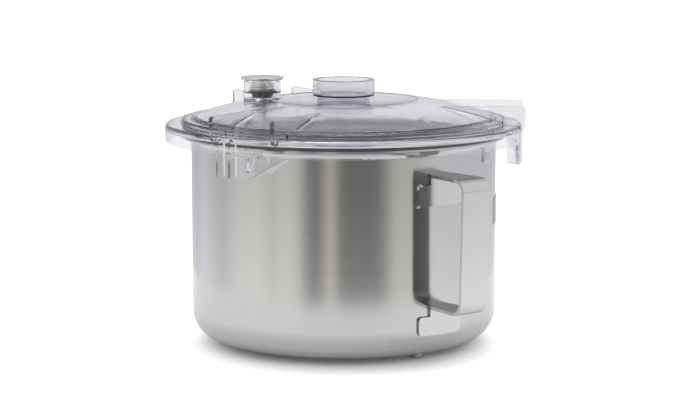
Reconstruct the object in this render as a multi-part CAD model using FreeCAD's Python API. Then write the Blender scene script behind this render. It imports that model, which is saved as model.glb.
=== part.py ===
import FreeCAD, Part
import math
import os

# Food cutter bowl with a clear bayonet lid, a feed cap, a release valve and a blade rotor.
# Millimetres and degrees. +Z is up, the origin is on the bowl's axis at the level of the stud
# ends, and the handle is on +X. The lid is set down but not yet turned to its locked place.

# ---------------------------------------------------------------- bowl
stud_h = 4.0                # studs hold the bowl this far off the table
stud_r = 5.5
stud_inset = 27.5           # circle of studs inside the wall's outside
stud_edge = 0.4

bowl_r = 123.5              # outside of the straight wall
bowl_wall = 1.5
bowl_corner_r = 22.0        # outside radius between wall and base
bowl_h = 165.8              # from the underside of the base to the top of the rim
rim_w = 7.5                 # rim past the wall
rim_bend_r = 5.5            # inside the bend under the rim

tongue_reach = 7.0          # past the rim
tongue_w = 20.4             # where it leaves the rim
tongue_t = 2.0

tube_r = 15.0
tube_bore_r = 12.5
tube_h = 64.5               # above the bowl's floor
tube_flange_r = 28.0
tube_flange_t = 2.5

# ---------------------------------------------------------------- handle and plate
strap_w = 26.0
strap_root_w = 21.0         # the arms narrow towards the wall
strap_t = 2.5
handle_reach = 43.7         # outer face of the grip from the wall, at its top
handle_lean = 2.7           # the grip's bottom is this much nearer
handle_top_z = 149.0
handle_h = 105.5
handle_bend_r = 10.0        # outside of the bend
foot_t = 2.2
upper_foot_drop = 24.8      # from the top of an arm to the foot's lower edge
lower_foot_drop = 22.8
foot_neck_h = 8.1
foot_wing_w = 10.3          # past the neck
foot_corner_r = 3.0

plate_angle = 60.0
plate_w = 82.0
plate_h = 21.5
plate_t = 0.8
plate_bond_t = 0.05         # adhesive between plate and wall
plate_z = 98.0
plate_corner_r = 1.5

# ---------------------------------------------------------------- seal and lid
seal_t = 2.9
seal_fit = 0.3              # round the spigot
lid_rest_turn = -9.2        # the lid's place before it is turned to lock
lid_lock_turn = 10.0        # how far it turns from there
spigot_gap = 1.0            # between the lid's spigot and the bowl's wall
spigot_t = 3.0
spigot_h = 6.2              # below the seal's top

lid_wall = 3.2
skirt_gap = 10.5            # between the rim and the inside of the skirt
skirt_t = 3.0
skirt_h = 7.7               # below the seal's top
flange_rise = 1.8           # underside outside the seal, above the seal's top
flange_t = 4.1
flange_edge_r = 3.0
flange_root_r = 1.0         # between the flange and the inside of the skirt
ring_w = 9.5                # raised ring above the seal
ring_h = 3.8
ring_edge_r = 1.5
ring_foot_r = 1.0
groove_w = 4.5              # hollow under the raised ring
groove_h = 6.8
dome_step = 1.3             # from the ring's top to the foot of the dome, in one hollow curve
dome_rise = 13.7
dome_w = 61.5               # from the dome's foot to the crease round its dished middle
dome_mid_w = 25.5           # a point on the way, and its rise above the foot
dome_mid_rise = 7.5
dish_depth = 3.9
dish_sag = 0.7
neck_r = 25.0
neck_h = 6.5                # above the dish
neck_drop = 6.5             # below the dish
neck_bore_r = 21.8

fin_offset = 28.2           # middle of a fin from the lug's centre line
fin_t = 3.6
fin_top = 10.3              # above the foot of the dome
fin_overhang = 2.2          # past the skirt's radius
fin_corner_r = 3.0
fin_foot = -0.8             # underside of the overhang from the top of the flange
fin_gusset = 3.0

hook_drop = 17.5            # below the skirt
hook_start = -11.8          # angles from the lug's centre line
hook_flat_end = 1.5
hook_end = 14.2
hook_gap = 3.0              # between the rim and the hook's inner parts
hook_rib_t = 3.0
stop_gap = 0.3              # between the stop and a tongue in the locked place
ledge_play = 0.9            # below a tongue
ledge_t = 3.2
ledge_end = 4.7
gusset_angle = 1.4
gusset_t = 2.0
gusset_h = 11.0

# ---------------------------------------------------------------- feed cap
cap_r = 25.2
cap_wall = 4.0
cap_h = 12.0                # above its seal
cap_seal_t = 1.2
cap_seal_w = 2.6
cap_fit = 0.3               # between the plug and the neck
plug_wall = 3.0
plug_floor_t = 3.0
cap_edge = 0.6

# ---------------------------------------------------------------- release valve
valve_inset = 6.0           # valve's axis outside the crease
boss_r = 15.2
boss_bore_r = 12.2
boss_top = 12.5             # above the boss's floor
boss_floor_z = 14.8         # above the foot of the dome
guide_shelf = 3.6           # above the boss's floor
guide_shelf_w = 1.0
guide_t = 1.0
guide_fit = 0.3
port_r = 3.2
port_boss_r = 6.0
port_boss_h = 8.0           # below the boss's floor
plug_low_r = 7.5
plug_high_r = 9.5
plug_h = 5.5
collar_h = 5.0
stem_r = 8.35
stem_h = 3.7
stem_groove = 0.8
disc_r = 17.3
disc_t = 2.3
disc_edge = 0.7
spindle_r = 2.5
spindle_fit = 0.1
spring_r = 4.3
spring_wire_r = 0.45
spring_h = 14.0
spring_turns = 5
spring_runs = 10            # straight runs in a turn
clip_r = 5.6
clip_t = 1.5
clip_groove = 0.6
spindle_tail = 1.5

# ---------------------------------------------------------------- blade rotor
hub_floor_gap = 2.5
hub_flange_r = 27.0
hub_flange_t = 4.0
hub_r = 20.0
hub_bore_fit = 0.6          # round the centre tube
hub_top_gap = 0.3           # between the tube's end and the drive insert
insert_r = 14.0
insert_h = 27.7
drive_bore_r = 8.0
key_w = 5.0
key_depth = 2.2
spacer_r = 25.0
lower_spacer_h = 25.5
upper_spacer_h = 37.0
nut_r = 27.0
nut_cover_t = 9.0
nut_flutes = 8
nut_flute_r = 7.0
nut_flute_depth = 2.5
gasket_t = 1.2
gasket_w = 4.0

blade_t = 2.5
blade_bend_gap = 1.0        # from the hub's flange to the line where the arms bend
edge_r = 95.0               # cutting edge, an arc about this place beside the arm
edge_x = 30.0
edge_y = -75.0
back_r = 70.0               # back of the blade
back_x = 40.0
back_y = -73.0
edge_bevel_w = 6.0
edge_land = 0.4
lower_tip_gap = 15.0        # between a tip and the wall
upper_tip_gap = 9.0
lower_slope = -3.0
upper_slope = 14.0

# ---------------------------------------------------------------- levels and radii that follow
base_z = stud_h
floor_z = base_z + bowl_wall
rim_z = base_z + bowl_h
bowl_inner_r = bowl_r - bowl_wall
rim_r = bowl_r + rim_w
stud_circle_r = bowl_r - stud_inset
tube_top_z = floor_z + tube_h
handle_bottom_z = handle_top_z - handle_h
grip_x = bowl_r + handle_reach
grip_low_x = grip_x - handle_lean

land_z = rim_z + seal_t                 # underside of the lid where the seal bears
flange_low_z = land_z + flange_rise
flange_z = flange_low_z + flange_t
ring_z = flange_z + ring_h
dome_z = ring_z + dome_step
dome_top_z = dome_z + dome_rise
dish_z = dome_top_z - dish_depth
neck_top_z = dish_z + neck_h
neck_low_z = dish_z - neck_drop
spigot_r = bowl_inner_r - spigot_gap
ring_inner_r = rim_r - ring_w
dome_edge_r = ring_inner_r - dome_w
dome_mid_r = ring_inner_r - dome_mid_w
skirt_inner_r = rim_r + skirt_gap
skirt_r = skirt_inner_r + skirt_t
skirt_low_z = land_z - skirt_h
fin_end = skirt_r + fin_overhang
hook_inner_r = rim_r + hook_gap
hook_low_z = skirt_low_z - hook_drop

valve_angle = lid_rest_turn - 120.0
valve_place_r = dome_edge_r + valve_inset
boss_floor = dome_z + boss_floor_z
boss_top_z = boss_floor + boss_top
port_low_z = boss_floor - port_boss_h
collar_z = boss_floor + plug_h
stem_z = collar_z + collar_h
disc_z = stem_z + stem_h
clip_z = port_low_z - spring_h - clip_t

lower_tip_r = bowl_inner_r - lower_tip_gap
upper_tip_r = bowl_inner_r - upper_tip_gap
hub_low_z = floor_z + hub_floor_gap
lower_blade_z = hub_low_z + hub_flange_t
lower_spacer_z = lower_blade_z + blade_t
upper_blade_z = lower_spacer_z + lower_spacer_h
upper_spacer_z = upper_blade_z + blade_t
nut_z = upper_spacer_z + upper_spacer_h
insert_z = tube_top_z + hub_top_gap
hub_top_z = insert_z + insert_h

UP = FreeCAD.Vector(0, 0, 1)
CENTRE = FreeCAD.Vector(0, 0, 0)
THIRDS = (0, 1, 2)


# ---------------------------------------------------------------- small helpers
def point(x, z, y=0.0):
    return FreeCAD.Vector(x, y, z)


def turned(shape, angle):
    """A copy turned about the bowl's axis."""
    copy = shape.copy()
    copy.rotate(CENTRE, UP, angle)
    return copy


def profile(start, *steps):
    """Closed face in the XZ plane. A step is an end point, or a pair: middle and end of an arc."""
    edges = []
    here = point(*start)
    for step in steps + (start,):
        if isinstance(step[0], tuple):
            middle, end = point(*step[0]), point(*step[1])
            edges.append(Part.Arc(here, middle, end).toShape())
        else:
            end = point(*step)
            if end.distanceToPoint(here) > 1e-6:
                edges.append(Part.LineSegment(here, end).toShape())
        here = end
    return Part.Face(Part.Wire(edges))


def corner(centre, radius, start, end):
    """Arc step about a centre, between two angles measured from +X towards +Z."""
    def at(angle):
        turn = math.radians(angle)
        return centre[0] + radius * math.cos(turn), centre[1] + radius * math.sin(turn)
    return at((start + end) / 2.0), at(end)


def revolved(start, *steps):
    return profile(start, *steps).revolve(CENTRE, UP, 360)


def plate(face, y_low, y_high):
    """A face in the XZ plane made a plate between two Y planes."""
    face = face.copy()
    face.translate(FreeCAD.Vector(0, y_low, 0))
    return face.extrude(FreeCAD.Vector(0, y_high - y_low, 0))


def rod(radius, z_low, z_high, x=0.0, y=0.0):
    return Part.makeCylinder(radius, z_high - z_low, FreeCAD.Vector(x, y, z_low), UP)


def ring(r_inner, r_outer, z_low, z_high):
    return rod(r_outer, z_low, z_high).cut(rod(r_inner, z_low, z_high))


def sector(r_inner, r_outer, z_low, z_high, start, end):
    low = FreeCAD.Vector(0, 0, z_low)
    height = z_high - z_low
    outer = Part.makeCylinder(r_outer, height, low, UP, end - start)
    inner = Part.makeCylinder(r_inner, height, low, UP, 360)
    return turned(outer.cut(inner), start)


def joined(first, *others):
    return first.fuse(list(others)).removeSplitter()


# ---------------------------------------------------------------- bowl
def make_bowl_shell():
    corner_r = bowl_corner_r
    inner_r = bowl_corner_r - bowl_wall
    corner_centre = (bowl_r - corner_r, base_z + corner_r)
    bend = rim_bend_r + bowl_wall
    bend_centre = (bowl_r + rim_bend_r, rim_z - bend)
    return revolved(
        (tube_r, base_z), (corner_centre[0], base_z), corner(corner_centre, corner_r, -90, 0),
        (bowl_r, bend_centre[1]), corner(bend_centre, rim_bend_r, 180, 90),
        (rim_r, rim_z - bowl_wall), (rim_r, rim_z),
        (bend_centre[0], rim_z), corner(bend_centre, bend, 90, 180),
        (bowl_inner_r, corner_centre[1]), corner(corner_centre, inner_r, 0, -90),
        (tube_r, floor_z))


def make_centre_tube():
    flange_low = base_z - tube_flange_t
    return revolved(
        (tube_bore_r, flange_low), (tube_flange_r, flange_low), (tube_flange_r, base_z),
        (tube_r, base_z), (tube_r, tube_top_z), (tube_bore_r, tube_top_z))


def make_locating_studs():
    stud = revolved(
        (0, 0), (stud_r - stud_edge, 0),
        corner((stud_r - stud_edge, stud_edge), stud_edge, -90, 0),
        (stud_r, base_z), (0, base_z))
    stud.translate(FreeCAD.Vector(stud_circle_r, 0, 0))
    return Part.Compound([turned(stud, 120.0 * k) for k in THIRDS])


def make_rim_tongues():
    half = tongue_w / 2.0
    chord = math.sqrt(rim_r ** 2 - half ** 2)
    rise = rim_r + tongue_reach - chord
    nose_r = (half ** 2 + rise ** 2) / (2.0 * rise)
    nose = rod(nose_r, rim_z - tongue_t, rim_z, rim_r + tongue_reach - nose_r)
    tongue = nose.cut(rod(rim_r, rim_z - tongue_t, rim_z))
    return Part.Compound([turned(tongue, 60.0 + 120.0 * k) for k in THIRDS])


# ---------------------------------------------------------------- handle and side plate
def wall_patch(face, inner_r, thickness):
    """The part of a thin layer round the bowl that lies inside an outline drawn in YZ."""
    layer = ring(inner_r, inner_r + thickness, 0, rim_z)
    return layer.common(face.extrude(FreeCAD.Vector(2.0 * bowl_r, 0, 0)))


def rounded_outline(half_width, z_low, z_high, corner_r):
    """Rectangle with round corners in the YZ plane."""
    box = Part.makeBox(1, 2.0 * half_width, z_high - z_low, FreeCAD.Vector(0, -half_width, z_low))
    upright = [edge for edge in box.Edges if abs(edge.tangentAt(edge.FirstParameter).x) > 0.9]
    box = box.makeFillet(corner_r, upright)
    return [face for face in box.Faces if abs(face.CenterOfMass.x) < 1e-6][0]


def make_foot(arm_z, drop):
    """T-shaped foot folded down on the wall from the arm whose top is at arm_z."""
    low = arm_z - drop
    half_neck = strap_root_w / 2.0
    wings = rounded_outline(half_neck + foot_wing_w, low, arm_z - foot_neck_h, foot_corner_r)
    neck = Part.makeBox(2.0 * bowl_r, strap_root_w, drop - foot_corner_r,
                        FreeCAD.Vector(0, -half_neck, low + foot_corner_r))
    layer = ring(bowl_r, bowl_r + foot_t, low, arm_z)
    return joined(wall_patch(wings, bowl_r, foot_t), layer.common(neck))


def bent_bar(top, bottom, root_x, top_x, bottom_x, bend_r):
    """A bar as wide as the grip, filled from the wall to the grip, with its two bends rounded."""
    side = profile((root_x, top), (top_x, top), (bottom_x, bottom), (root_x, bottom))
    bar = plate(side, -strap_w / 2.0, strap_w / 2.0)
    bends = [edge for edge in bar.Edges
             if abs(edge.tangentAt(edge.FirstParameter).y) > 0.9 and edge.CenterOfMass.x > bowl_r]
    return bar.makeFillet(bend_r, bends)


def make_strap():
    low, high = handle_bottom_z, handle_top_z
    root_x = bowl_r - strap_t
    outside = bent_bar(high, low, root_x, grip_x, grip_low_x, handle_bend_r)
    inside = bent_bar(high - strap_t, low + strap_t, root_x - strap_t, grip_x - strap_t,
                      grip_low_x - strap_t, handle_bend_r - strap_t)
    taper_x = grip_low_x - handle_bend_r
    root, full = strap_root_w / 2.0, strap_w / 2.0
    outline = Part.makePolygon([
        FreeCAD.Vector(x, y, low) for x, y in (
            (root_x, -root), (bowl_r, -root), (taper_x, -full), (grip_x, -full),
            (grip_x, full), (taper_x, full), (bowl_r, root), (root_x, root), (root_x, -root))])
    plan = Part.Face(outline).extrude(UP * handle_h)
    return outside.cut(inside).common(plan)


def make_handle():
    strap = make_strap()
    feet = [make_foot(handle_top_z, upper_foot_drop),
            make_foot(handle_bottom_z + strap_t, lower_foot_drop)]
    return joined(strap, *feet).cut(rod(bowl_r, 0, rim_z))


def make_side_plate():
    outline = rounded_outline(plate_w / 2.0, plate_z, plate_z + plate_h, plate_corner_r)
    return turned(wall_patch(outline, bowl_r + plate_bond_t, plate_t), plate_angle)


# ---------------------------------------------------------------- seal and lid
def make_lid_seal():
    return ring(spigot_r + seal_fit, rim_r, rim_z, land_z)


def dome_arc(drop):
    """Arc over the dome from its foot to its crease, lowered by drop."""
    foot = point(ring_inner_r, dome_z - drop)
    middle = point(dome_mid_r, dome_z + dome_mid_rise - drop)
    crease = point(dome_edge_r, dome_top_z - drop)
    return Part.Arc(foot, middle, crease)


def dome_height(r, drop=0.0):
    """Height of the dome's outside at a radius, lowered by drop."""
    circle = dome_arc(drop).toShape().Curve
    return circle.Center.z + math.sqrt(circle.Radius ** 2 - (r - circle.Center.x) ** 2)


def over_dome(start_r, drop):
    """Arc step from a point on the dome near its foot up to the crease."""
    middle_r = (start_r + dome_edge_r) / 2.0
    return (middle_r, dome_height(middle_r, drop)), (dome_edge_r, dome_top_z - drop)


def under_dome(end_r, drop):
    """Arc step from the crease down to a point on the dome near its foot."""
    middle, _ = over_dome(end_r, drop)
    return middle, (end_r, dome_height(end_r, drop))


def make_lid_form():
    """Dome, ring, flange, skirt, spigot and neck: everything that is round about the axis."""
    inner_r = spigot_r - spigot_t
    spigot_low_z = land_z - spigot_h
    edge = (skirt_r - flange_edge_r, flange_z - flange_edge_r)
    root = (skirt_inner_r - flange_root_r, flange_low_z - flange_root_r)
    ring_edge = (rim_r - ring_edge_r, ring_z - ring_edge_r)
    ring_foot = (rim_r + ring_foot_r, flange_z + ring_foot_r)
    step = (ring_inner_r + dome_step, dome_z)
    groove_r = ring_inner_r + (ring_w - groove_w) / 2.0
    groove_z = land_z + groove_h
    dish_mid_r = (dome_edge_r + neck_r) / 2.0
    dish_mid_z = (dome_top_z + dish_z) / 2.0 - dish_sag
    return revolved(
        (skirt_inner_r, skirt_low_z), (skirt_r, skirt_low_z),
        (skirt_r, edge[1]), corner(edge, flange_edge_r, 0, 90),
        (ring_foot[0], flange_z), corner(ring_foot, ring_foot_r, 270, 180),
        (rim_r, ring_edge[1]), corner(ring_edge, ring_edge_r, 0, 90),
        (step[0], ring_z), corner(step, dome_step, 270, 180), over_dome(ring_inner_r, 0.0),
        ((dish_mid_r, dish_mid_z), (neck_r, dish_z)),
        (neck_r, neck_top_z), (neck_bore_r, neck_top_z),
        (neck_bore_r, neck_low_z), (neck_r, neck_low_z), (neck_r, dish_z - lid_wall),
        ((dish_mid_r, dish_mid_z - lid_wall), (dome_edge_r, dome_top_z - lid_wall)),
        under_dome(inner_r, lid_wall),
        (inner_r, spigot_low_z), (spigot_r, spigot_low_z), (spigot_r, land_z),
        (groove_r, land_z), (groove_r, groove_z), (groove_r + groove_w, groove_z),
        (groove_r + groove_w, land_z), (rim_r, land_z), (rim_r, flange_low_z),
        (root[0], flange_low_z), corner(root, flange_root_r, 90, 0))


def make_lid_core():
    """Everything under the middle of the lid's wall; fins and boss are cut back to it."""
    outer_r = skirt_r - skirt_t / 2.0
    flange_mid_z = flange_z - flange_t / 2.0
    drop = lid_wall / 2.0
    return revolved(
        (0, hook_low_z), (outer_r, hook_low_z), (outer_r, flange_mid_z),
        (rim_r - drop, flange_mid_z), (rim_r - drop, ring_z - drop),
        (ring_inner_r, ring_z - drop), (ring_inner_r, dome_z - drop),
        over_dome(ring_inner_r, drop), (0, dome_top_z - drop))


def make_fins():
    """The two upright fins of a lug whose centre line is on +X."""
    top_z = dome_z + fin_top
    foot_z = flange_z + fin_foot
    inner = (fin_end - fin_corner_r, top_z - fin_corner_r)
    face = profile(
        (dome_edge_r, top_z), (inner[0], top_z), corner(inner, fin_corner_r, 90, 0),
        (fin_end, foot_z), (fin_end - fin_gusset, foot_z - fin_gusset),
        (dome_edge_r, foot_z - fin_gusset))
    offsets = (-fin_offset - fin_t / 2.0, fin_offset - fin_t / 2.0)
    return [plate(face, offset, offset + fin_t) for offset in offsets]


def arc_degrees(length, radius):
    return math.degrees(length / radius)


def make_hook():
    """Skirt extension with its end wall, stop, ledge and gusset, for a lug on +X."""
    embed_r = skirt_inner_r + skirt_t / 2.0
    top_z = flange_low_z + flange_t / 2.0
    extension = sector(skirt_inner_r, skirt_r, hook_low_z, skirt_low_z, hook_start, hook_end)
    flat_y = skirt_r * math.sin(math.radians(hook_flat_end))
    end_y = skirt_r * math.sin(math.radians(hook_end))
    slope = Part.makePolygon([
        FreeCAD.Vector(0, flat_y, hook_low_z), FreeCAD.Vector(0, end_y, skirt_low_z),
        FreeCAD.Vector(0, end_y, hook_low_z), FreeCAD.Vector(0, flat_y, hook_low_z)])
    extension = extension.cut(Part.Face(slope).extrude(FreeCAD.Vector(fin_end, 0, 0)))

    wall_end = hook_start + arc_degrees(hook_rib_t, skirt_r)
    end_wall = sector(hook_inner_r, embed_r, hook_low_z, top_z, hook_start, wall_end)

    tongue_half = math.degrees(math.asin(tongue_w / 2.0 / rim_r))
    stop_end = -lid_rest_turn - lid_lock_turn - tongue_half - arc_degrees(stop_gap, rim_r)
    stop_start = stop_end - arc_degrees(hook_rib_t, skirt_r)
    stop = sector(hook_inner_r, embed_r, hook_low_z, top_z, stop_start, stop_end)

    ledge_top_z = rim_z - tongue_t - ledge_play
    ledge_low_z = ledge_top_z - ledge_t
    ledge = sector(hook_inner_r, embed_r, ledge_low_z, ledge_top_z, stop_end, ledge_end)

    brace = profile(
        (embed_r, ledge_low_z), (hook_inner_r, ledge_low_z),
        (hook_inner_r, ledge_low_z - ledge_t), (skirt_inner_r, ledge_low_z - gusset_h),
        (embed_r, ledge_low_z - gusset_h))
    gusset = turned(plate(brace, -gusset_t / 2.0, gusset_t / 2.0), gusset_angle)
    return [extension, end_wall, stop, ledge, gusset]


def at_valve(shape):
    """Moves a shape made about the Z axis to the valve's place on the lid."""
    moved = shape.copy()
    moved.translate(FreeCAD.Vector(valve_place_r, 0, 0))
    return turned(moved, valve_angle)


def make_lid_shell():
    core = make_lid_core()
    lugs = []
    for k in THIRDS:
        angle = 60.0 + 120.0 * k + lid_rest_turn
        lugs += [turned(fin.cut(core), angle) for fin in make_fins()]
        lugs += [turned(piece, angle) for piece in make_hook()]
    boss_low_z = dome_height(valve_place_r + boss_r, lid_wall)
    boss = at_valve(rod(boss_r, boss_low_z, boss_top_z)).cut(core)
    port_boss = at_valve(rod(port_boss_r, port_low_z, boss_floor))
    shell = joined(make_lid_form(), boss, port_boss, *lugs)
    shelf_z = boss_floor + guide_shelf
    bores = [
        rod(boss_bore_r, shelf_z, boss_top_z),
        rod(boss_bore_r - guide_shelf_w, boss_floor, shelf_z),
        rod(port_r, port_low_z, boss_floor)]
    return shell.cut([at_valve(bore) for bore in bores])


def make_valve_guide():
    low = boss_floor + guide_shelf
    return at_valve(ring(plug_high_r + guide_fit, boss_bore_r, low, low + guide_t))


# ---------------------------------------------------------------- feed cap
def make_feed_cap():
    plug_r = neck_bore_r - cap_fit
    seat_z = neck_top_z + cap_seal_t
    top_z = seat_z + cap_h
    inner_r = cap_r - cap_wall
    outer_edge = (cap_r - cap_edge, top_z - cap_edge)
    inner_edge = (inner_r + cap_edge, top_z - cap_edge)
    floor_top = neck_low_z + plug_floor_t
    step_z = seat_z + plug_floor_t
    return revolved(
        (0, neck_low_z), (plug_r, neck_low_z), (plug_r, seat_z), (cap_r, seat_z),
        (cap_r, outer_edge[1]), corner(outer_edge, cap_edge, 0, 90),
        (inner_edge[0], top_z), corner(inner_edge, cap_edge, 90, 180),
        (inner_r, step_z), (plug_r - plug_wall, step_z), (plug_r - plug_wall, floor_top),
        (0, floor_top))


def make_cap_seal():
    outer_r = cap_r - cap_edge
    return ring(outer_r - cap_seal_w, outer_r, neck_top_z, neck_top_z + cap_seal_t)


# ---------------------------------------------------------------- release valve
def make_valve_knob():
    """Disc, grooved stem and spindle in one turned piece."""
    end_z = clip_z - spindle_tail
    groove_z = stem_z + stem_h / 2.0
    half = stem_groove / 2.0
    waist_r = spindle_r - clip_groove
    low_edge = (disc_r - disc_edge, disc_z + disc_edge)
    high_edge = (disc_r - disc_edge, disc_z + disc_t - disc_edge)
    return at_valve(revolved(
        (0, end_z), (spindle_r, end_z), (spindle_r, clip_z), (waist_r, clip_z),
        (waist_r, clip_z + clip_t), (spindle_r, clip_z + clip_t), (spindle_r, stem_z),
        (stem_r, stem_z), (stem_r, groove_z - half), (stem_r - stem_groove, groove_z - half),
        (stem_r - stem_groove, groove_z + half), (stem_r, groove_z + half), (stem_r, disc_z),
        (low_edge[0], disc_z), corner(low_edge, disc_edge, -90, 0),
        (disc_r, high_edge[1]), corner(high_edge, disc_edge, 0, 90), (0, disc_z + disc_t)))


def make_valve_collar():
    return at_valve(ring(spindle_r + spindle_fit, plug_high_r, collar_z, stem_z))


def make_valve_plug():
    bore_r = spindle_r + spindle_fit
    return at_valve(revolved(
        (bore_r, boss_floor), (plug_low_r, boss_floor), (plug_high_r, collar_z - plug_h / 4.0),
        (plug_high_r, collar_z), (bore_r, collar_z)))


def make_valve_spring():
    """Coil spring between the port boss and the clip, its wire bent from short straight runs."""
    length = spring_h - 2.0 * spring_wire_r
    low_z = clip_z + clip_t + spring_wire_r
    runs = spring_turns * spring_runs
    path = []
    for k in range(runs + 1):
        turn = 2.0 * math.pi * k / spring_runs
        x, y = spring_r * math.cos(turn), spring_r * math.sin(turn)
        path.append(FreeCAD.Vector(x, y, low_z + length * k / runs))
    wire = Part.makePolygon(path)
    section = Part.Wire(Part.makeCircle(spring_wire_r, path[0], path[1] - path[0]))
    sweep = Part.BRepOffsetAPI.MakePipeShell(wire)
    sweep.setTransitionMode(1)
    sweep.add(section)
    sweep.build()
    sweep.makeSolid()
    return at_valve(sweep.shape())


def make_valve_clip():
    bore_r = spindle_r - clip_groove + spindle_fit
    return at_valve(ring(bore_r, clip_r, clip_z, clip_z + clip_t))


# ---------------------------------------------------------------- blade rotor
def make_hub_sleeve():
    bore_r = tube_r + hub_bore_fit
    return revolved(
        (bore_r, hub_low_z), (hub_flange_r, hub_low_z), (hub_flange_r, lower_blade_z),
        (hub_r, lower_blade_z), (hub_r, hub_top_z), (insert_r, hub_top_z),
        (insert_r, insert_z), (bore_r, insert_z))


def make_drive_insert():
    body = ring(drive_bore_r, insert_r, insert_z, hub_top_z)
    low = FreeCAD.Vector(0, -key_w / 2.0, insert_z)
    keyway = Part.makeBox(drive_bore_r + key_depth, key_w, insert_h, low)
    return body.cut(keyway)


def make_arm(tip_r):
    """Flat sickle arm on +X, sharpened along its leading edge."""
    top_r = edge_r - edge_bevel_w
    cone_low = FreeCAD.Vector(edge_x, edge_y, edge_land)
    land = rod(edge_r, 0, edge_land, edge_x, edge_y)
    bevel = Part.makeCone(edge_r, top_r, blade_t - edge_land, cone_low, UP)
    sickle = land.fuse(bevel).cut(rod(back_r, 0, blade_t, back_x, back_y))
    half = Part.makeBox(tip_r, 2.0 * tip_r, blade_t, FreeCAD.Vector(0, -tip_r, 0))
    return sickle.common(half).common(rod(tip_r, 0, blade_t))


def bent(arm, tip_r, slope):
    """The arm in two pieces, mitred where its outer part turns up by slope."""
    bend_x = hub_flange_r + blade_bend_gap
    mitre = blade_t * math.tan(math.radians(slope / 2.0))
    root = profile((0, 0), (bend_x, 0), (bend_x - mitre, blade_t), (0, blade_t))
    rest = profile((bend_x, 0), (tip_r, 0), (tip_r, blade_t), (bend_x + mitre, blade_t))
    inner = arm.common(plate(root, -tip_r, tip_r))
    outer = arm.common(plate(rest, -tip_r, tip_r))
    outer.rotate(point(bend_x, 0), FreeCAD.Vector(0, -1, 0), slope)
    return inner, outer


def make_blade(z, tip_r, slope, angle):
    """Two arms opposite each other on a flat disc round the hub."""
    pieces = []
    for side in (0.0, 180.0):
        pieces += [turned(piece, side) for piece in bent(make_arm(tip_r), tip_r, slope)]
    blade = joined(rod(hub_flange_r, 0, blade_t), *pieces)
    blade = blade.cut(rod(hub_r, -blade_t, 2.0 * blade_t))
    blade.translate(FreeCAD.Vector(0, 0, z))
    return turned(blade, angle)


def make_clamp_nut():
    ceiling_z = hub_top_z + gasket_t
    top_z = ceiling_z + nut_cover_t
    crown = nut_cover_t * 0.6
    nut = revolved(
        (hub_r, nut_z), (nut_r, nut_z), (nut_r, top_z - crown),
        ((nut_r - 0.3 * crown, top_z - 0.3 * crown), (nut_r - crown, top_z)),
        (0, top_z), (0, ceiling_z), (hub_r, ceiling_z))
    flute_x = nut_r + nut_flute_r - nut_flute_depth
    flute = rod(nut_flute_r, nut_z + nut_cover_t / 2.0, top_z, flute_x)
    step = 360.0 / nut_flutes
    return nut.cut([turned(flute, step * (k + 0.5)) for k in range(nut_flutes)])


def make_nut_gasket():
    return ring(hub_r - gasket_w, hub_r, hub_top_z, hub_top_z + gasket_t)


parts = {
    "bowl_shell": make_bowl_shell(),
    "centre_tube": make_centre_tube(),
    "locating_studs": make_locating_studs(),
    "rim_tongues": make_rim_tongues(),
    "handle": make_handle(),
    "side_plate": make_side_plate(),
    "lid_seal": make_lid_seal(),
    "lid_shell": make_lid_shell(),
    "valve_guide": make_valve_guide(),
    "feed_cap": make_feed_cap(),
    "cap_seal": make_cap_seal(),
    "valve_knob": make_valve_knob(),
    "valve_collar": make_valve_collar(),
    "valve_plug": make_valve_plug(),
    "valve_spring": make_valve_spring(),
    "valve_clip": make_valve_clip(),
    "hub_sleeve": make_hub_sleeve(),
    "drive_insert": make_drive_insert(),
    "lower_blade": make_blade(lower_blade_z, lower_tip_r, lower_slope, 0.0),
    "blade_spacer": ring(hub_r, spacer_r, lower_spacer_z, upper_blade_z),
    "upper_blade": make_blade(upper_blade_z, upper_tip_r, upper_slope, 90.0),
    "upper_spacer": ring(hub_r, spacer_r, upper_spacer_z, nut_z),
    "clamp_nut": make_clamp_nut(),
    "nut_gasket": make_nut_gasket(),
}

os.makedirs("parts", exist_ok=True)
for name, shape in parts.items():
    shape.exportStep(f"parts/{name}.step")
    box = shape.BoundBox
    print(f"{name}: {len(shape.Solids)} solid, valid {shape.isValid()}, {shape.Volume:.0f} mm3, "
          f"X {box.XMin:.1f}..{box.XMax:.1f} Y {box.YMin:.1f}..{box.YMax:.1f} "
          f"Z {box.ZMin:.1f}..{box.ZMax:.1f}")
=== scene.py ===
import math

import bmesh
import bpy
from mathutils import Matrix, Vector, noise


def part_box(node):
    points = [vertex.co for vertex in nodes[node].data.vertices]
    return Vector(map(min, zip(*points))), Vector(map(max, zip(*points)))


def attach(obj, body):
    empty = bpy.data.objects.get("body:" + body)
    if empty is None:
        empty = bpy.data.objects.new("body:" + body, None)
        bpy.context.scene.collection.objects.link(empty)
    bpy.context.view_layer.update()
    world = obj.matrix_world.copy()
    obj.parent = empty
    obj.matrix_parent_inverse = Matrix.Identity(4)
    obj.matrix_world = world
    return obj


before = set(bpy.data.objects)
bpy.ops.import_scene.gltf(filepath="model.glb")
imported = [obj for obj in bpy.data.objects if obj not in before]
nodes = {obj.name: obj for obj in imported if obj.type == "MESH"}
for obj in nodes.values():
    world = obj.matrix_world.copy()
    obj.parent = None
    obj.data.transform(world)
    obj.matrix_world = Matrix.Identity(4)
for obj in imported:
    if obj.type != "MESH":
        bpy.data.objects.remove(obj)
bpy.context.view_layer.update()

# The looks of a food cutter bowl: brushed steel, a clear moulded lid and a black seal, in a white
# studio. Lengths are metres, or millimetres times MM.
MM = 0.001
scene = bpy.context.scene


# ---------------------------------------------------------------- places taken from the frame
def middle(name):
    """Centre of a node's box at rest."""
    low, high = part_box(name)
    return (low + high) / 2.0


RIM_W = 7.5 * MM                # rim past the bowl's wall
FOOT_DROP = 24.8 * MM           # from the top of the handle to its upper foot's lower edge

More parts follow.
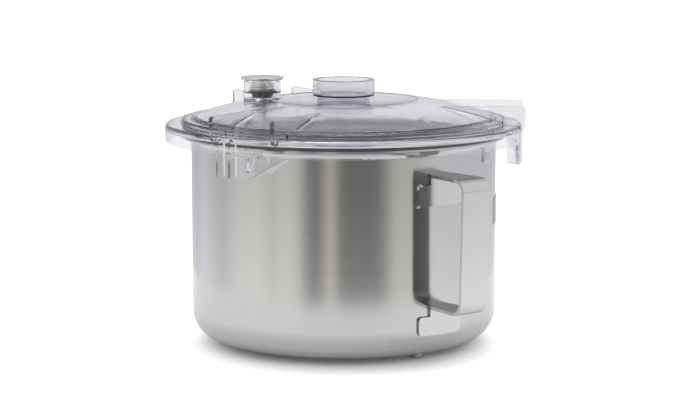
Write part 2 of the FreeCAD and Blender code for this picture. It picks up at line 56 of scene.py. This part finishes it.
bowl_axis = Vector((0, 0, 0))
valve_axis = Vector((middle("valve_knob").x, middle("valve_knob").y, 0))
wall_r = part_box("bowl_shell")[1].x - RIM_W
handle_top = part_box("handle")[1].z
foot_low = handle_top - FOOT_DROP
collar_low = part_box("valve_collar")[0].z


# ---------------------------------------------------------------- small helpers
def linear(code):
    """sRGB hex colour as linear RGBA."""
    parts = [int(code[k:k + 2], 16) / 255.0 for k in (1, 3, 5)]
    return [c / 12.92 if c <= 0.04045 else ((c + 0.055) / 1.055) ** 2.4 for c in parts] + [1.0]


def add_node(tree, kind, inputs=None, **settings):
    """Adds a node with its settings; inputs gives its sockets a value or the output that feeds them."""
    node = tree.nodes.new(kind)
    for key, value in settings.items():
        setattr(node, key, value)
    for key, source in (inputs or {}).items():
        if isinstance(source, bpy.types.NodeSocket):
            tree.links.new(source, node.inputs[key])
        else:
            node.inputs[key].default_value = source
    return node


def new_material(name, values):
    """A material with one Principled shader; returns it with its tree and shader."""
    material = bpy.data.materials.new(name)
    material.use_nodes = True
    tree = material.node_tree
    shader = tree.nodes["Principled BSDF"]
    for key, value in values.items():
        shader.inputs[key].default_value = value
    return material, tree, shader


def dress(material, *names):
    """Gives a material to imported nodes."""
    for name in names:
        slots = nodes[name].data.materials
        slots.clear()
        slots.append(material)


def new_object(name, shape, material):
    """Makes an object at the origin of a bmesh, which it frees."""
    mesh = bpy.data.meshes.new(name)
    shape.to_mesh(mesh)
    shape.free()
    mesh.materials.append(material)
    made = bpy.data.objects.new(name, mesh)
    scene.collection.objects.link(made)
    return made


def new_piece(name, shape, material, body):
    """Makes a piece with smooth faces that moves with a body."""
    for face in shape.faces:
        face.smooth = True
    piece = new_object(name, shape, material)
    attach(piece, body)


# ---------------------------------------------------------------- patterns shared by the materials
def grain_noise(tree, scale, centre=bowl_axis, detail=3.0):
    """Noise on Object coordinates about a centre; scale is features per metre along X, Y and Z."""
    place = add_node(tree, "ShaderNodeTexCoord")
    moved = add_node(tree, "ShaderNodeVectorMath", {0: place.outputs["Object"], 1: centre},
                     operation="SUBTRACT")
    stretched = add_node(tree, "ShaderNodeMapping", {"Vector": moved.outputs[0], "Scale": scale})
    grain = add_node(tree, "ShaderNodeTexNoise", {"Vector": stretched.outputs[0], "Scale": 1.0,
                                                  "Detail": detail, "Roughness": 0.6})
    return grain.outputs["Fac"]


def about_axis(tree, centre):
    """The distance from an upright axis, and the height."""
    place = add_node(tree, "ShaderNodeTexCoord")
    moved = add_node(tree, "ShaderNodeVectorMath", {0: place.outputs["Object"], 1: centre},
                     operation="SUBTRACT")
    level = add_node(tree, "ShaderNodeVectorMath", {0: moved.outputs[0], 1: (1, 1, 0)},
                     operation="MULTIPLY")
    radius = add_node(tree, "ShaderNodeVectorMath", {0: level.outputs[0]}, operation="LENGTH")
    axes = add_node(tree, "ShaderNodeSeparateXYZ", {0: moved.outputs[0]})
    return radius.outputs["Value"], axes.outputs["Z"]


def lathe_noise(tree, spacing, centre):
    """Noise that runs in rings about an upright axis: it changes with radius and height alone."""
    radius, height = about_axis(tree, centre)
    ring = add_node(tree, "ShaderNodeCombineXYZ", {"X": radius, "Z": height})
    rings = add_node(tree, "ShaderNodeTexNoise", {"Vector": ring.outputs[0], "Scale": 1.0 / spacing,
                                                  "Detail": 2.0, "Roughness": 0.5})
    return rings.outputs["Fac"]


def set_range(tree, source, socket, low, high, start=0.3, end=0.7):
    """Drives a socket between two values with a pattern."""
    scaled = add_node(tree, "ShaderNodeMapRange", {"Value": source, "From Min": start, "From Max": end,
                                                   "To Min": low, "To Max": high})
    tree.links.new(scaled.outputs[0], socket)


def set_tint(tree, shader, source, low, high, start=0.3, end=0.7):
    """Varies the base colour between two hex colours with a pattern."""
    share = add_node(tree, "ShaderNodeMapRange", {"Value": source, "From Min": start, "From Max": end})
    tint = add_node(tree, "ShaderNodeMix", {"Factor": share.outputs[0], 6: linear(low), 7: linear(high)},
                    data_type="RGBA")
    tree.links.new(tint.outputs[2], shader.inputs["Base Color"])


def set_bump(tree, shader, source, height):
    """Raises the surface with a pattern."""
    bump = add_node(tree, "ShaderNodeBump", {"Height": source, "Distance": height})
    tree.links.new(bump.outputs[0], shader.inputs["Normal"])


# ---------------------------------------------------------------- camera
AIM = Vector((0, 0, 0.090))
SIDE = math.radians(-37.2)      # direction of the camera, from +X
LIFT = math.radians(8.92)
AWAY = 1.9
SENSOR = 36.0                   # mm
LENS = 119.57                   # mm
SHIFT = (0.009143, 0.027571)    # of the frame's width


def direction(side, lift):
    """Unit vector at an angle from +X and an angle above level."""
    return Vector((math.cos(side) * math.cos(lift), math.sin(side) * math.cos(lift), math.sin(lift)))


def aim_at_bowl(thing, side, lift, away):
    """Puts a camera or a lamp in the scene, looking at the bowl."""
    outward = direction(side, lift)
    thing.location = AIM + away * outward
    thing.rotation_euler = outward.to_track_quat("Z", "Y").to_euler()
    scene.collection.objects.link(thing)


camera_data = bpy.data.cameras.new("camera")
camera_data.sensor_width = SENSOR
camera_data.lens = LENS
camera_data.shift_x, camera_data.shift_y = SHIFT
camera = bpy.data.objects.new("camera", camera_data)
aim_at_bowl(camera, SIDE, LIFT, AWAY)
scene.camera = camera
scene.view_settings.view_transform = "Standard"
# Light goes through the clear lid many times before it leaves, so its paths may be long.
scene.cycles.max_bounces = 40
scene.cycles.glossy_bounces = 24
scene.cycles.transmission_bounces = 32


# ---------------------------------------------------------------- studio
ROOM_LEVEL = 0.90           # the light that falls on the bowl; what is looked at is 1
FLOOR_R = 6.0
# Painted shadow: the floor's glow fades in a disc round a place just before the bowl.
PAINTED_SHADOW_R = 0.088            # the paper's glow grows from here, round a place before the bowl,
PAINTED_SHADOW_END_R = 0.145             # to here
PAINTED_SHADOW_SHIFT = 0.024
PAINTED_SHADOW_GLOW = 0.1           # what is left of the glow right under the bowl
GLOW = 0.5
SCREEN_R = 0.385
SCREEN_H = 0.6
LOW_ZONE = 0.10             # the screen is paler below this height
LAMP_POWER = 5.0
LAMP_SIZE = 1.2
LAMP_LIFT = math.radians(78.0)
LAMP_AWAY = 1.6


def build_world():
    """White walls all round under a greyer ceiling, which only metal and plastic see."""
    world = bpy.data.worlds.new("studio")
    scene.world = world
    world.use_nodes = True
    tree = world.node_tree
    tree.nodes.clear()
    path = add_node(tree, "ShaderNodeLightPath")
    through = path.outputs["Is Transmission Ray"]
    looked_at = add_node(tree, "ShaderNodeMath", {0: path.outputs["Is Camera Ray"], 1: through},
                         operation="MAXIMUM")
    level = add_node(tree, "ShaderNodeMapRange", {"Value": looked_at.outputs[0], "To Min": ROOM_LEVEL})
    mirrored = add_node(tree, "ShaderNodeMath", {0: path.outputs["Is Glossy Ray"], 1: through},
                        operation="MAXIMUM")
    way = add_node(tree, "ShaderNodeTexCoord")
    rise = add_node(tree, "ShaderNodeSeparateXYZ", {0: way.outputs["Generated"]})
    above = add_node(tree, "ShaderNodeMapRange", {"Value": rise.outputs["Z"], "From Min": 0.35,
                                                  "From Max": 0.85}, interpolation_type="SMOOTHSTEP")
    share = add_node(tree, "ShaderNodeMath", {0: above.outputs[0], 1: mirrored.outputs[0]},
                     operation="MULTIPLY")
    colour = add_node(tree, "ShaderNodeMix", {"Factor": share.outputs[0], 6: linear("#ffffff"),
                                              7: linear("#dcdde3")}, data_type="RGBA")
    light = add_node(tree, "ShaderNodeBackground", {"Color": colour.outputs[2],
                                                    "Strength": level.outputs[0]})
    add_node(tree, "ShaderNodeOutputWorld", {"Surface": light.outputs[0]})


def build_floor():
    """White paper, with a glow that only the camera sees, so that it is white away from the bowl. The glow
    fades in a disc round a place just before the bowl, which paints the bowl's shadow there."""
    shape = bmesh.new()
    bmesh.ops.create_circle(shape, cap_ends=True, segments=96, radius=FLOOR_R)
    material, tree, shader = new_material("matt_white_paper_painted_shadow", {
        "Base Color": linear("#fcfcfc"), "Roughness": 0.9, "Specular IOR Level": 0.2,
        "Emission Color": linear("#ffffff")})
    place = add_node(tree, "ShaderNodeTexCoord")
    before_bowl = PAINTED_SHADOW_SHIFT * direction(SIDE, 0.0)
    reach = add_node(tree, "ShaderNodeVectorMath", {0: place.outputs["Object"], 1: before_bowl},
                     operation="DISTANCE")
    # painted shadow: the glow is weakest near the place before the bowl
    clear = add_node(tree, "ShaderNodeMapRange", {"Value": reach.outputs["Value"], "From Min": PAINTED_SHADOW_R,
                                                  "From Max": PAINTED_SHADOW_END_R, "To Min": PAINTED_SHADOW_GLOW},
                     interpolation_type="SMOOTHSTEP")
    path = add_node(tree, "ShaderNodeLightPath")
    level = add_node(tree, "ShaderNodeMath", {0: path.outputs["Is Camera Ray"], 1: GLOW},
                     operation="MULTIPLY")
    glow = add_node(tree, "ShaderNodeMath", {0: clear.outputs[0], 1: level.outputs[0]},
                    operation="MULTIPLY")
    tree.links.new(glow.outputs[0], shader.inputs["Emission Strength"])
    new_object("floor", shape, material)


# Grey of the studio as the metal mirrors it, at degrees from the camera's direction: a pale room
# with soft dark flags in front, to the left of the front and far to the left.
FLAGS = (
    (-180, "#d8d8e0"), (-128, "#dcdce2"), (-114, "#f2f2f7"), (-104, "#ebebec"), (-95, "#e0e0e0"),
    (-86, "#dcdcdc"), (-79, "#eae9e7"), (-70, "#f3f2ef"), (-56, "#f5f4f0"), (-48, "#e9e8e4"),
    (-44, "#e4e3de"), (-40, "#efeee9"), (-33, "#eeece7"), (-28, "#dcdad5"), (-25, "#bfbeba"),
    (-21, "#9c9c9c"), (-17, "#8c8c8d"), (-13, "#aeaaa7"), (-9, "#d2cdc6"), (-6, "#cac6be"),
    (-2, "#9a9793"), (1, "#8a8887"), (13, "#868584"), (21, "#8c8b89"), (26, "#aaa9a4"),
    (30, "#c9c8c3"), (34, "#dad9d4"), (42, "#dddbd7"), (60, "#f0f0f3"), (75, "#edecf1"),
    (108, "#ecebf0"), (180, "#d8d8e0"))


def flag_material():
    """A screen that glows with the flags' greys. Light that went through clear plastic doesn't see
    it, unless it went right through the lid, was mirrored once and came back."""
    material, tree, shader = new_material("grey_flags", {
        "Base Color": linear("#000000"), "Roughness": 1.0, "Specular IOR Level": 0.0})
    place = add_node(tree, "ShaderNodeTexCoord")
    turned = add_node(tree, "ShaderNodeMapping", {"Vector": place.outputs["Object"],
                                                  "Rotation": (0, 0, -SIDE)})
    axes = add_node(tree, "ShaderNodeSeparateXYZ", {0: turned.outputs[0]})
    angle = add_node(tree, "ShaderNodeMath", {0: axes.outputs["Y"], 1: axes.outputs["X"]},
                     operation="ARCTAN2")
    share = add_node(tree, "ShaderNodeMapRange", {"Value": angle.outputs[0], "From Min": -math.pi,
                                                  "From Max": math.pi})
    ramp = add_node(tree, "ShaderNodeValToRGB", {"Fac": share.outputs[0]})
    stops = ramp.color_ramp.elements
    while len(stops) > 1:
        stops.remove(stops[-1])
    stops[0].position = 0.0
    stops[0].color = linear(FLAGS[0][1])
    for degrees, colour in FLAGS[1:]:
        stops.new((degrees + 180.0) / 360.0).color = linear(colour)
    low = add_node(tree, "ShaderNodeMapRange", {"Value": axes.outputs["Z"], "From Max": LOW_ZONE,
                                                "To Min": 0.09, "To Max": 0.0})
    grey = add_node(tree, "ShaderNodeMix", {"Factor": low.outputs[0], 6: ramp.outputs["Color"],
                                            7: linear("#ecece9")}, data_type="RGBA")
    tree.links.new(grey.outputs[2], shader.inputs["Emission Color"])
    set_range(tree, axes.outputs["Z"], shader.inputs["Emission Strength"], 1.12, 0.86, 0.0, 1.1 * LOW_ZONE)
    path = add_node(tree, "ShaderNodeLightPath")
    direct = add_node(tree, "ShaderNodeMath", {0: 1.0, 1: path.outputs["Is Transmission Ray"]},
                      operation="SUBTRACT")
    four = add_node(tree, "ShaderNodeMath", {0: path.outputs["Transmission Depth"], 1: 4.0, 2: 0.5},
                    operation="COMPARE")
    once = add_node(tree, "ShaderNodeMath", {0: path.outputs["Glossy Depth"], 1: 1.0, 2: 0.5},
                    operation="COMPARE")
    back = add_node(tree, "ShaderNodeMath", {0: four.outputs[0], 1: once.outputs[0]}, operation="MULTIPLY")
    seen = add_node(tree, "ShaderNodeMath", {0: direct.outputs[0], 1: back.outputs[0]},
                    operation="MAXIMUM")
    clear = add_node(tree, "ShaderNodeBsdfTransparent")
    shown = add_node(tree, "ShaderNodeMixShader", {0: seen.outputs[0], 1: clear.outputs[0],
                                                   2: shader.outputs[0]})
    tree.links.new(shown.outputs[0], tree.nodes["Material Output"].inputs["Surface"])
    return material


def build_flags():
    """An upright round screen about the bowl, seen only in gloss."""
    shape = bmesh.new()
    ends = [shape.verts.new((SCREEN_R, 0, z)) for z in (0.0, SCREEN_H)]
    edge = shape.edges.new(ends)
    bmesh.ops.spin(shape, geom=ends + [edge], cent=bowl_axis, axis=(0, 0, 1), angle=math.tau, steps=96,
                   use_merge=True)
    screen = new_object("surround", shape, flag_material())
    screen.visible_camera = False
    screen.visible_diffuse = False
    screen.visible_shadow = False
    screen.visible_volume_scatter = False


def build_lamp():
    """A wide soft lamp nearly above the bowl, a little behind it."""
    data = bpy.data.lights.new("lamp_top", "AREA")
    data.shape = "SQUARE"
    data.size = LAMP_SIZE
    data.energy = LAMP_POWER
    aim_at_bowl(bpy.data.objects.new("lamp_top", data), SIDE + math.pi, LAMP_LIFT, LAMP_AWAY)


build_world()
build_floor()
build_flags()
build_lamp()


# ---------------------------------------------------------------- steel
def faces_in(tree):
    """1 on faces that look towards the bowl's axis or up, and 0 on its outside."""
    place = add_node(tree, "ShaderNodeTexCoord")
    axes = add_node(tree, "ShaderNodeSeparateXYZ", {0: place.outputs["Object"]})
    out_and_down = add_node(tree, "ShaderNodeCombineXYZ", {0: axes.outputs["X"], 1: axes.outputs["Y"],
                                                           2: -0.1})
    towards = add_node(tree, "ShaderNodeVectorMath", {0: place.outputs["Normal"],
                                                      1: out_and_down.outputs[0]},
                       operation="DOT_PRODUCT")
    inward = add_node(tree, "ShaderNodeMath", {0: towards.outputs["Value"], 1: 0.0}, operation="LESS_THAN")
    return inward.outputs[0]


def spun_sheet():
    """Stainless sheet, deep drawn and brushed round the axis: a satin that smears what it mirrors
    sideways, duller inside, where it was only sanded. The grain is about 0.1 mm and is drawn
    0.6 mm wide so that it shows."""
    material, tree, shader = new_material("brushed_stainless_sheet", {
        "Metallic": 1.0, "Anisotropic": 0.2, "Anisotropic Rotation": 0.25})
    tangent = add_node(tree, "ShaderNodeTangent", direction_type="RADIAL", axis="Z")
    tree.links.new(tangent.outputs[0], shader.inputs["Tangent"])
    grain = grain_noise(tree, (8.0, 8.0, 1.0 / (0.6 * MM)))
    cloud = grain_noise(tree, (14.0, 14.0, 9.0), detail=2.0)
    both = add_node(tree, "ShaderNodeMath", {0: grain, 1: cloud}, operation="ADD")
    choice = add_node(tree, "ShaderNodeMix", {"Factor": faces_in(tree)})
    set_range(tree, both.outputs[0], choice.inputs[2], 0.11, 0.15, 0.7, 1.3)
    set_range(tree, both.outputs[0], choice.inputs[3], 0.34, 0.42, 0.7, 1.3)
    tree.links.new(choice.outputs[0], shader.inputs["Roughness"])
    set_tint(tree, shader, grain, "#cbcbcb", "#d0d0d0")
    set_bump(tree, shader, grain, 0.004 * MM)
    return material


FOOT_FACE = 2.4 * MM        # the feet end less than this from the bowl's wall, and the arms begin
BEND_SHADE_LINE = 9.0 * MM        # from the handle's top to a faint painted dark line across its upper bend


def painted_shade_mask(tree):
    """1 on the strap's inside and on the cut edges of its feet, as painted shade, on the flats of its
    arms, as a painted dark reflection, and a little on a painted dark line across its upper bend."""
    place = add_node(tree, "ShaderNodeTexCoord")
    normal = place.outputs["Normal"]
    axes = add_node(tree, "ShaderNodeSeparateXYZ", {0: place.outputs["Object"]})
    inwards = add_node(tree, "ShaderNodeVectorMath", {0: middle("handle"), 1: place.outputs["Object"]},
                       operation="SUBTRACT")
    level = add_node(tree, "ShaderNodeVectorMath", {0: inwards.outputs[0], 1: (1, 0, 1)},
                     operation="MULTIPLY")
    towards = add_node(tree, "ShaderNodeVectorMath", {0: normal, 1: level.outputs[0]},
                       operation="DOT_PRODUCT")
    inside = add_node(tree, "ShaderNodeMapRange", {"Value": towards.outputs["Value"],
                                                   "From Max": 3.0 * MM})
    facing = add_node(tree, "ShaderNodeSeparateXYZ", {0: normal})
    upright = add_node(tree, "ShaderNodeMath", {0: facing.outputs["Z"]}, operation="ABSOLUTE")
    flat = add_node(tree, "ShaderNodeMapRange", {"Value": upright.outputs[0], "From Min": 0.75,
                                                 "From Max": 0.95})
    line = add_node(tree, "ShaderNodeMath", {0: axes.outputs["Z"], 1: handle_top - BEND_SHADE_LINE,
                                             2: 0.5 * MM}, operation="COMPARE")
    faint = add_node(tree, "ShaderNodeMath", {0: line.outputs[0], 1: 0.2}, operation="MULTIPLY")
    strap = add_node(tree, "ShaderNodeMath", {0: inside.outputs[0], 1: flat.outputs[0]},
                     operation="MAXIMUM")
    strap = add_node(tree, "ShaderNodeMath", {0: strap.outputs[0], 1: faint.outputs[0]},
                     operation="MAXIMUM")
    outwards = add_node(tree, "ShaderNodeVectorMath", {0: place.outputs["Object"], 1: (1, 1, 0)},
                        operation="MULTIPLY")
    face = add_node(tree, "ShaderNodeVectorMath", {0: normal, 1: outwards.outputs[0]},
                    operation="DOT_PRODUCT")
    # painted shade on the feet's cut edges, where they meet the bowl's wall
    cut = add_node(tree, "ShaderNodeMapRange", {"Value": face.outputs["Value"], "From Min": 0.05,
                                                "From Max": 0.10, "To Min": 1.0, "To Max": 0.0})
    past_foot = add_node(tree, "ShaderNodeMath", {0: axes.outputs["X"], 1: wall_r + FOOT_FACE},
                         operation="GREATER_THAN")
    shade_share = add_node(tree, "ShaderNodeMix", {"Factor": past_foot.outputs[0], 2: cut.outputs[0],
                                            3: strap.outputs[0]})
    return shade_share.outputs[0]


def satin_strip(name, fine, colours, low=0.15, high=0.21):
    """Stainless strip with a belt-ground satin: straight lines along its length; fine gives the
    features per metre along X, Y and Z, about 0.5 mm apart across the lines so that they show."""
    material, tree, shader = new_material(name, {"Metallic": 1.0})
    grain = grain_noise(tree, fine)
    cloud = grain_noise(tree, (30.0, 30.0, 20.0), detail=2.0)
    both = add_node(tree, "ShaderNodeMath", {0: grain, 1: cloud}, operation="ADD")
    set_range(tree, both.outputs[0], shader.inputs["Roughness"], low, high, 0.7, 1.3)
    set_tint(tree, shader, cloud, *colours)
    set_bump(tree, shader, grain, 0.0015 * MM)
    return material


def satin_strap():
    """The handle's strap: the same satin on its outside, and a darker, rougher grey painted as shade
    inside it and on the feet's cut edges, and as a dark reflection on the flats of the arms."""
    material = satin_strip("satin_stainless_strap_painted_shade", (40.0, 1.0 / (0.5 * MM), 12.0), ("#d8d7d5", "#dddcda"))
    tree = material.node_tree
    shader = tree.nodes["Principled BSDF"]
    shade_share = painted_shade_mask(tree)
    ground = shader.inputs["Base Color"].links[0].from_socket
    # painted shade and dark reflection: a darker grey, and rougher below
    colour = add_node(tree, "ShaderNodeMix", {"Factor": shade_share, 6: ground, 7: linear("#94918e")},
                      data_type="RGBA")
    tree.links.new(colour.outputs[2], shader.inputs["Base Color"])
    satin = shader.inputs["Roughness"].links[0].from_socket
    rough = add_node(tree, "ShaderNodeMix", {"Factor": shade_share, 2: satin, 3: 0.3})
    tree.links.new(rough.outputs[0], shader.inputs["Roughness"])
    return material


def weld_metal():
    """Stainless weld run by hand and left as it cooled: very bright, with a straw tint. Its ripples
    are about 0.4 mm apart and are drawn 0.8 mm so that they show."""
    material, tree, shader = new_material("stainless_weld_bead", {"Metallic": 1.0})
    ripple = grain_noise(tree, (1.0 / (0.8 * MM),) * 3)
    set_range(tree, ripple, shader.inputs["Roughness"], 0.18, 0.38)
    set_tint(tree, shader, ripple, "#dcd6ca", "#f6f5f2")
    set_bump(tree, shader, ripple, 0.12 * MM)
    return material


def turned_steel(name, centre, spacing=0.35 * MM, low=0.10, high=0.20, colours=("#c9c8c5", "#d2d1ce")):
    """Stainless bar turned on a lathe: bright, with fine tool rings round its own axis. The rings
    are about 0.08 mm apart and are drawn 0.25 to 0.35 mm so that they show."""
    material, tree, shader = new_material(name, {"Metallic": 1.0})
    rings = lathe_noise(tree, spacing, centre)
    set_range(tree, rings, shader.inputs["Roughness"], low, high)
    set_tint(tree, shader, rings, *colours)
    set_bump(tree, shader, rings, 0.004 * MM)
    return material


def ground_blade():
    """Hardened stainless blade, ground flat across and then polished: fine straight lines, about
    0.1 mm apart and drawn 0.5 mm, and a few darker stains from washing."""
    material, tree, shader = new_material("ground_blade_steel", {"Metallic": 1.0})
    lines = grain_noise(tree, (1.0 / (0.5 * MM), 60.0, 60.0))
    stain = grain_noise(tree, (45.0, 45.0, 45.0), detail=4.0)
    set_range(tree, lines, shader.inputs["Roughness"], 0.14, 0.26)
    set_tint(tree, shader, stain, "#c4c3c2", "#d6d6d6", 0.35, 0.5)
    set_bump(tree, shader, lines, 0.004 * MM)
    return material


def drawn_wire():
    """Stainless spring wire, drawn and left with its dull skin, slightly mottled."""
    material, tree, shader = new_material("drawn_spring_wire", {"Metallic": 1.0})
    mottle = grain_noise(tree, (900.0, 900.0, 900.0))
    set_range(tree, mottle, shader.inputs["Roughness"], 0.25, 0.42)
    set_tint(tree, shader, mottle, "#a3a3a4", "#b9b9b8")
    return material


# ---------------------------------------------------------------- plastic and rubber
BOSS_R = 15.6 * MM          # outside of the lid's boss for the valve


def clear_moulding(name, tint, density, low, high, height, texture_size, haze=0.0):
    """Polycarbonate, injection moulded: clear, with a faint cool grey in its thickness. A polished
    mould leaves it glossy with fine wiping marks, a spark-eroded one leaves a fine haze, which
    scatters a little of the light. The valve's boss comes off a polished core and is the clearest."""
    material, tree, shader = new_material(name, {
        "Base Color": linear(tint), "IOR": 1.58, "Transmission Weight": 1.0 - haze})
    texture = grain_noise(tree, [1.0 / size for size in texture_size], detail=4.0)
    from_valve, _ = about_axis(tree, valve_axis)
    rough = add_node(tree, "ShaderNodeMath", operation="MULTIPLY")
    set_range(tree, texture, rough.inputs[0], low, high, 0.4, 0.7)
    set_range(tree, from_valve, rough.inputs[1], 0.1, 1.0, BOSS_R, BOSS_R + 2.0 * MM)
    tree.links.new(rough.outputs[0], shader.inputs["Roughness"])
    set_bump(tree, shader, texture, height)
    inner = add_node(tree, "ShaderNodeVolumeAbsorption", {"Color": linear("#b4b6d0"), "Density": density})
    tree.links.new(inner.outputs[0], tree.nodes["Material Output"].inputs["Volume"])
    return material


def moulded_rubber(name, centre):
    """Black silicone rubber, moulded and trimmed: nearly matt, with a light bloom in places and
    faint rings from the mould's turning tool."""
    material, tree, shader = new_material(name, {"IOR": 1.45, "Specular IOR Level": 0.25})
    rings = lathe_noise(tree, 0.6 * MM, centre)
    bloom = grain_noise(tree, (90.0, 90.0, 90.0), centre, detail=4.0)
    set_range(tree, bloom, shader.inputs["Roughness"], 0.38, 0.6)
    set_tint(tree, shader, bloom, "#0c0c0d", "#161617")
    set_bump(tree, shader, rings, 0.02 * MM)
    return material


def moulded_nylon(name, centre):
    """Glass-filled nylon, moulded with a fine spark-eroded texture: black, a little lighter where
    hands have polished it. The texture is about 0.15 mm and is drawn 0.5 mm."""
    material, tree, shader = new_material(name, {"IOR": 1.53})
    texture = grain_noise(tree, (1.0 / (0.5 * MM),) * 3, centre, detail=2.0)
    wear = grain_noise(tree, (70.0, 70.0, 70.0), centre)
    set_range(tree, wear, shader.inputs["Roughness"], 0.38, 0.55)
    set_tint(tree, shader, wear, "#1a1a1c", "#26262a")
    set_bump(tree, shader, texture, 0.03 * MM)
    return material


# ---------------------------------------------------------------- what each node wears
bar_steel = turned_steel("turned_stainless_bar", bowl_axis)
knob_steel = turned_steel("turned_stainless_knob", valve_axis, colours=("#dad9d8", "#e2e1e1"))
plate_steel = satin_strip("satin_stainless_plate", (12.0, 12.0, 1.0 / (0.5 * MM)), ("#cfcfd0", "#d6d6d7"),
                          0.18, 0.28)
lid_plastic = clear_moulding("moulded_clear_polycarbonate", "#fcfcfe", 8.0, 0.035, 0.065, 0.0004 * MM,
                             (1.1 * MM, 17.0 * MM, 2.5 * MM))
cap_plastic = clear_moulding("hazy_clear_polycarbonate", "#fcfcff", 6.0, 0.12, 0.2, 0.015 * MM,
                             (0.4 * MM,) * 3, haze=0.09)
seal_rubber = moulded_rubber("moulded_black_rubber", bowl_axis)

dress(spun_sheet(), "bowl_shell")
dress(satin_strap(), "handle")
dress(plate_steel, "side_plate", "rim_tongues")
dress(lid_plastic, "lid_shell")
dress(cap_plastic, "feed_cap")
dress(bar_steel, "centre_tube", "locating_studs", "hub_sleeve", "drive_insert")
dress(bar_steel, "blade_spacer", "upper_spacer")
dress(knob_steel, "valve_knob", "valve_collar", "valve_clip")
dress(drawn_wire(), "valve_spring")
dress(ground_blade(), "lower_blade", "upper_blade")
dress(seal_rubber, "lid_seal", "cap_seal", "nut_gasket")
dress(moulded_rubber("moulded_black_rubber_plug", valve_axis), "valve_plug")
dress(moulded_nylon("moulded_black_nylon_guide", valve_axis), "valve_guide")
dress(moulded_nylon("moulded_black_nylon", bowl_axis), "clamp_nut")


# ---------------------------------------------------------------- rings on the valve's collar
# Radius and height above the collar's foot, mm: a barrel, and a bead above it. Their inner sides
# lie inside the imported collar.
BARREL = ((9.3, 0.3), (10.0, 0.3), (10.5, 1.5), (10.3, 2.6), (9.8, 3.2), (9.3, 3.2))
BEAD = ((9.3, 3.8), (9.9, 3.8), (9.9, 4.5), (9.3, 4.5))


def turned_ring(outline, edge_r):
    """A ring about the valve's axis with its level edges rounded."""
    shape = bmesh.new()
    corners = [shape.verts.new((valve_axis.x + r * MM, valve_axis.y, collar_low + z * MM))
               for r, z in outline]
    edges = [shape.edges.new((corners[k - 1], corners[k])) for k in range(len(corners))]
    bmesh.ops.spin(shape, geom=corners + edges, cent=valve_axis, axis=(0, 0, 1), angle=math.tau,
                   steps=72, use_merge=True)
    bmesh.ops.remove_doubles(shape, verts=shape.verts[:], dist=0.001 * MM)
    bmesh.ops.recalc_face_normals(shape, faces=shape.faces[:])
    rims = [edge for edge in shape.edges if abs(edge.verts[0].co.z - edge.verts[1].co.z) < 0.01 * MM
            and edge.calc_face_angle(0.0) > 0.2]
    bmesh.ops.bevel(shape, geom=rims, offset=edge_r, offset_type="OFFSET", segments=3, profile=0.5,
                    affect="EDGES", clamp_overlap=True, material=-1)
    return shape


collar_steel = turned_steel("polished_turned_stainless", valve_axis, 0.25 * MM, 0.05, 0.10,
                            ("#d6d0c6", "#efebe4"))
new_piece("collar_barrel", turned_ring(BARREL, 0.3 * MM), collar_steel, "valve")
new_piece("collar_bead", turned_ring(BEAD, 0.2 * MM), collar_steel, "valve")


# ---------------------------------------------------------------- welds on the upper foot
WELD_DEPTH = 0.9 * MM       # how far a weld goes into the bowl's wall
RIPPLE = 0.18 * MM
RIPPLE_SIZE = 1.3 * MM
# On each side of the handle: degrees round the bowl, height above the foot's lower edge, width,
# height and stand-out in mm, and tilt in degrees.
WELDS = (
    (8.6, 16.4, 1.9, 1.3, 2.7, 14),
    (9.7, 15.0, 0.9, 1.7, 2.5, 0),
    (9.5, 0.5, 1.9, 0.9, 2.6, -38),
    (7.6, 3.4, 0.55, 0.55, 2.7, 0))


def weld_lump(shape, angle, height, wide, tall, proud, tilt):
    """Adds a rippled lump of weld on the bowl's wall. Its back stays within the wall's thickness."""
    turn = Matrix.Rotation(math.radians(angle), 4, "Z")
    move = Matrix.Translation((wall_r, 0, foot_low + height * MM))
    lean = Matrix.Rotation(math.radians(tilt), 4, "X")
    size = Matrix.Diagonal((proud * MM, wide * MM, tall * MM, 1))
    made = bmesh.ops.create_icosphere(shape, subdivisions=3, radius=1.0, matrix=turn @ move @ lean @ size)
    deepest = wall_r - WELD_DEPTH
    for vert in made["verts"]:
        vert.co += RIPPLE * noise.noise_vector(vert.co / RIPPLE_SIZE)
        if vert.co.xy.length < deepest:
            vert.co.xy *= deepest / vert.co.xy.length


welds = bmesh.new()
for side in (-1, 1):
    for angle, height, wide, tall, proud, tilt in WELDS:
        weld_lump(welds, side * angle, height, wide, tall, proud, side * tilt)
new_piece("foot_welds", welds, weld_metal(), "bowl")
